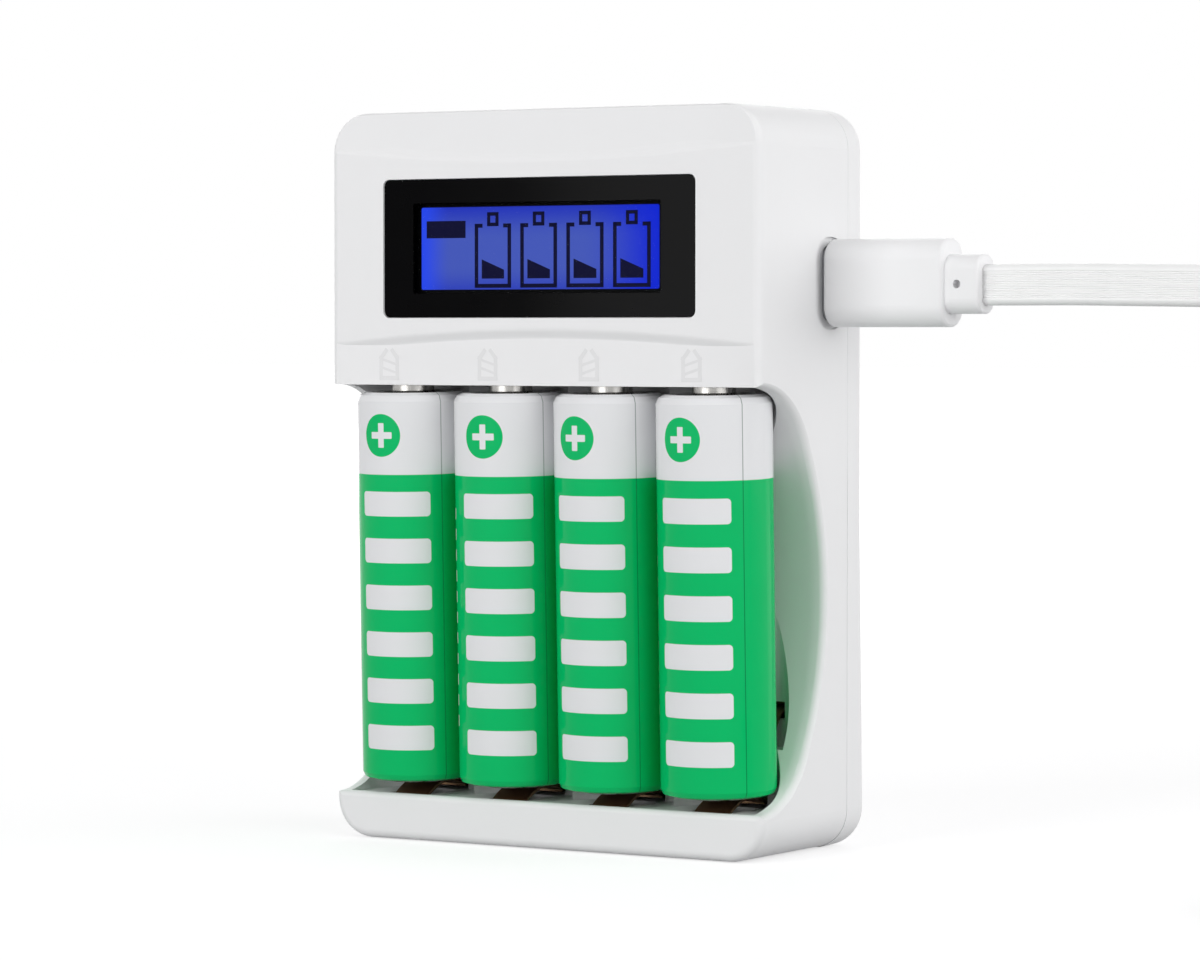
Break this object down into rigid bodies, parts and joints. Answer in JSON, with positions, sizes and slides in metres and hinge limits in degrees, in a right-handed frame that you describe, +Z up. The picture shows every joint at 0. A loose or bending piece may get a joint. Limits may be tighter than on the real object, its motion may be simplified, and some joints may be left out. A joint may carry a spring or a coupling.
{
  "type": "aa battery charger",
  "caption": "Upright white charger holding AA cells side by side in an open scooped bay, with a lit display window above and a flat charging lead plugged into its side.",
  "frame": {"origin": "centre of the flat underside of the housing, at table height", "axes": "+X to the viewer's right, towards the charging lead; +Y to the back; +Z up"},
  "size_m": [0.2022, 0.055, 0.0918],
  "materials": {
    "housing": "white moulded plastic, satin gloss",
    "window": "tinted clear window with a black border",
    "display": "blue lit display panel",
    "backlight": "white light guide",
    "board": "green circuit board",
    "black_plastic": "black moulded plastic",
    "ferrite": "dark ferrite with lacquer",
    "can_metal": "aluminium can",
    "screw_steel": "zinc plated steel",
    "contact_steel": "nickel plated strip",
    "spring_bronze": "phosphor bronze strip",
    "cell_steel": "nickel plated steel can",
    "cell_wrap": "green and white shrink wrap",
    "lead_plastic": "white moulded plastic",
    "plated_steel": "nickel plated steel",
    "lead_cord": "white ribbed flat cord",
    "tie": "black tie"
  },
  "bodies": {
    "case": {"front_housing": "housing", "rear_cover": "housing", "display_window": "window", "lcd_panel": "display", "lcd_backlight": "backlight", "display_board": "board", "board_link": "black_plastic", "main_board": "board", "charge_socket": "plated_steel", "socket_tongue": "black_plastic", "control_chip": "black_plastic", "power_coil": "ferrite", "filter_caps": "can_metal", "case_screws": "screw_steel", "plus_contact_1": "contact_steel", "plus_contact_2": "contact_steel", "plus_contact_3": "contact_steel", "plus_contact_4": "contact_steel", "cell_1": "cell_steel", "cell_2": "cell_steel", "cell_3": "cell_steel", "cell_4": "cell_steel", "wrap_1": "cell_wrap", "wrap_2": "cell_wrap", "wrap_3": "cell_wrap", "wrap_4": "cell_wrap", "plug_grip": "lead_plastic", "plug_shell": "plated_steel", "lead_cord": "lead_cord", "lead_coil": "lead_cord", "lead_tail": "lead_cord", "coil_tie": "tie", "supply_grip": "lead_plastic", "supply_shell": "plated_steel", "supply_tongue": "black_plastic"},
    "aa_spring_1": {"aa_leaf_1": "spring_bronze"},
    "aaa_spring_1": {"aaa_leaf_1": "spring_bronze"},
    "aa_spring_2": {"aa_leaf_2": "spring_bronze"},
    "aaa_spring_2": {"aaa_leaf_2": "spring_bronze"},
    "aa_spring_3": {"aa_leaf_3": "spring_bronze"},
    "aaa_spring_3": {"aaa_leaf_3": "spring_bronze"},
    "aa_spring_4": {"aa_leaf_4": "spring_bronze"},
    "aaa_spring_4": {"aaa_leaf_4": "spring_bronze"}
  },
  "joints": [
    {"name": "aa_press_1", "type": "hinge", "parent": "case", "child": "aa_spring_1", "pos_m": [-0.0222, 0.0011, 0.00611], "axis": [1, 0, 0], "range_deg": [0, 5], "stiffness_Nm_per_rad": 0.0375},
    {"name": "aaa_press_1", "type": "hinge", "parent": "case", "child": "aaa_spring_1", "pos_m": [-0.0222, 0.0036, 0.01767], "axis": [1, 0, 0], "range_deg": [0, 6], "stiffness_Nm_per_rad": 0.0375},
    {"name": "aa_press_2", "type": "hinge", "parent": "case", "child": "aa_spring_2", "pos_m": [-0.0074, 0.0011, 0.00611], "axis": [1, 0, 0], "range_deg": [0, 5], "stiffness_Nm_per_rad": 0.0375},
    {"name": "aaa_press_2", "type": "hinge", "parent": "case", "child": "aaa_spring_2", "pos_m": [-0.0074, 0.0036, 0.01767], "axis": [1, 0, 0], "range_deg": [0, 6], "stiffness_Nm_per_rad": 0.0375},
    {"name": "aa_press_3", "type": "hinge", "parent": "case", "child": "aa_spring_3", "pos_m": [0.0074, 0.0011, 0.00611], "axis": [1, 0, 0], "range_deg": [0, 5], "stiffness_Nm_per_rad": 0.0375},
    {"name": "aaa_press_3", "type": "hinge", "parent": "case", "child": "aaa_spring_3", "pos_m": [0.0074, 0.0036, 0.01767], "axis": [1, 0, 0], "range_deg": [0, 6], "stiffness_Nm_per_rad": 0.0375},
    {"name": "aa_press_4", "type": "hinge", "parent": "case", "child": "aa_spring_4", "pos_m": [0.0222, 0.0011, 0.00611], "axis": [1, 0, 0], "range_deg": [0, 5], "stiffness_Nm_per_rad": 0.0375},
    {"name": "aaa_press_4", "type": "hinge", "parent": "case", "child": "aaa_spring_4", "pos_m": [0.0222, 0.0036, 0.01767], "axis": [1, 0, 0], "range_deg": [0, 6], "stiffness_Nm_per_rad": 0.0375}
  ]
}
